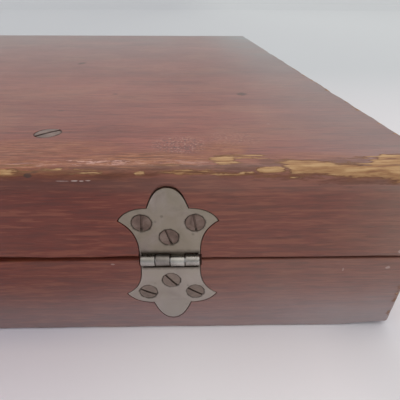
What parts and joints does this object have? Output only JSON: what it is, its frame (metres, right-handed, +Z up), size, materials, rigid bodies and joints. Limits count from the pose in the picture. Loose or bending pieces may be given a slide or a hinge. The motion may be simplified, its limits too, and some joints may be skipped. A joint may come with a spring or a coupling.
{
  "type": "metronome in a hinged wooden case",
  "caption": "Flat hinged mahogany case whose lid carries a spring-driven pendulum metronome movement and scale.",
  "frame": {"origin": "centre of the underside of the closed case, on the surface it lies on", "axes": "+Z up, +Y from the hinge side towards the lock side (the longest side), +X to the right when the hinge side faces the viewer"},
  "size_m": [0.3, 0.343, 0.0505],
  "materials": {
    "mahogany": "worn polished mahogany, reddish brown, rubbed bare along the lid edge",
    "dark_mahogany": "satin dark mahogany, protected inside the case",
    "baize": "dark green felted wool baize, glued down",
    "nickel": "dull nickel-plated sheet, tarnished grey",
    "screw_steel": "aged slotted steel screws, brownish grey",
    "steel": "polished and blued steel",
    "brass": "lacquered movement brass, satin",
    "silvered_brass": "silvered brass plate with black numbers"
  },
  "bodies": {
    "base": {"base_bottom_board": "mahogany", "base_hinge_rail": "mahogany", "base_left_rail": "mahogany", "base_lining": "baize", "base_lock_rail": "mahogany", "base_right_rail": "mahogany", "hinge_left_base_leaf": "nickel", "hinge_left_base_screw_1": "screw_steel", "hinge_left_base_screw_2": "screw_steel", "hinge_left_base_screw_3": "screw_steel", "hinge_left_pin": "steel", "hinge_right_base_leaf": "nickel", "hinge_right_base_screw_1": "screw_steel", "hinge_right_base_screw_2": "screw_steel", "hinge_right_base_screw_3": "screw_steel", "hinge_right_pin": "steel", "lock_case": "steel", "lock_escutcheon": "nickel"},
    "lid": {"board_screw_left": "screw_steel", "board_screw_right": "screw_steel", "hinge_left_lid_leaf": "nickel", "hinge_left_lid_screw_1": "screw_steel", "hinge_left_lid_screw_2": "screw_steel", "hinge_left_lid_screw_3": "screw_steel", "hinge_right_lid_leaf": "nickel", "hinge_right_lid_screw_1": "screw_steel", "hinge_right_lid_screw_2": "screw_steel", "hinge_right_lid_screw_3": "screw_steel", "lid_hinge_rail": "mahogany", "lid_left_rail": "mahogany", "lid_lock_rail": "mahogany", "lid_right_rail": "mahogany", "lid_top_board": "mahogany", "lock_strike_plate": "nickel", "movement_back_plate": "brass", "movement_board": "dark_mahogany", "movement_front_plate": "brass", "rod_clip": "brass", "scale_board": "dark_mahogany", "scale_plate": "silvered_brass"},
    "lock_bolt": {"lock_bolt": "steel"},
    "barrel": {"great_wheel": "brass", "barrel_drum": "brass", "mainspring": "steel"},
    "second": {"second_arbor": "steel", "second_wheel": "brass"},
    "escape": {"escape_arbor": "steel", "escape_wheel": "brass"},
    "winding": {"winding_arbor": "steel", "winding_key": "brass"},
    "click": {"ratchet_click": "steel"},
    "pendulum": {"pallet_arbor": "steel", "pallet_anchor": "steel", "pendulum_hub": "brass", "pendulum_rod": "steel", "pendulum_nut": "brass", "pendulum_bob": "brass"},
    "weight": {"sliding_weight": "brass"}
  },
  "joints": [
    {"name": "lid_hinge", "type": "hinge", "parent": "base", "child": "lid", "pos_m": [0, -0.17, 0.02575], "axis": [1, 0, 0], "range_deg": [0, 95]},
    {"name": "pendulum_swing", "type": "hinge", "parent": "lid", "child": "pendulum", "pos_m": [0, -0.084, 0.035], "axis": [0, 0, 1], "range_deg": [-22.5, 22.5]},
    {"name": "weight_slide", "type": "slide", "parent": "pendulum", "child": "weight", "axis": [0, 1, 0], "range_m": [-0.0405, 0.1485]},
    {"name": "barrel_spin", "type": "hinge", "parent": "lid", "child": "barrel", "pos_m": [-0.04023, -0.10149, 0.036], "axis": [0, 0, 1], "range_deg": [0, 1440]},
    {"name": "second_spin", "type": "hinge", "parent": "lid", "child": "second", "pos_m": [-0.01679, -0.09736, 0.033], "axis": [0, 0, 1], "range_deg": [-8640, 0]},
    {"name": "escape_spin", "type": "hinge", "parent": "lid", "child": "escape", "pos_m": [0, -0.09677, 0.0325], "axis": [0, 0, 1], "range_deg": [0, 43200]},
    {"name": "winding_spin", "type": "hinge", "parent": "lid", "child": "winding", "pos_m": [-0.04023, -0.10149, 0.036], "axis": [0, 0, 1], "continuous": true},
    {"name": "click_lift", "type": "hinge", "parent": "lid", "child": "click", "pos_m": [-0.05123, -0.09329, 0.0221], "axis": [0, 0, 1], "range_deg": [0, 12], "stiffness_Nm_per_rad": 0.003, "springref_deg": -17.19},
    {"name": "bolt_slide", "type": "slide", "parent": "base", "child": "lock_bolt", "axis": [1, 0, 0], "range_m": [0, 0.005]}
  ],
  "couplings": [
    {"joint": "second_spin", "follows": "barrel_spin", "ratio": -6},
    {"joint": "escape_spin", "follows": "barrel_spin", "ratio": 30}
  ]
}
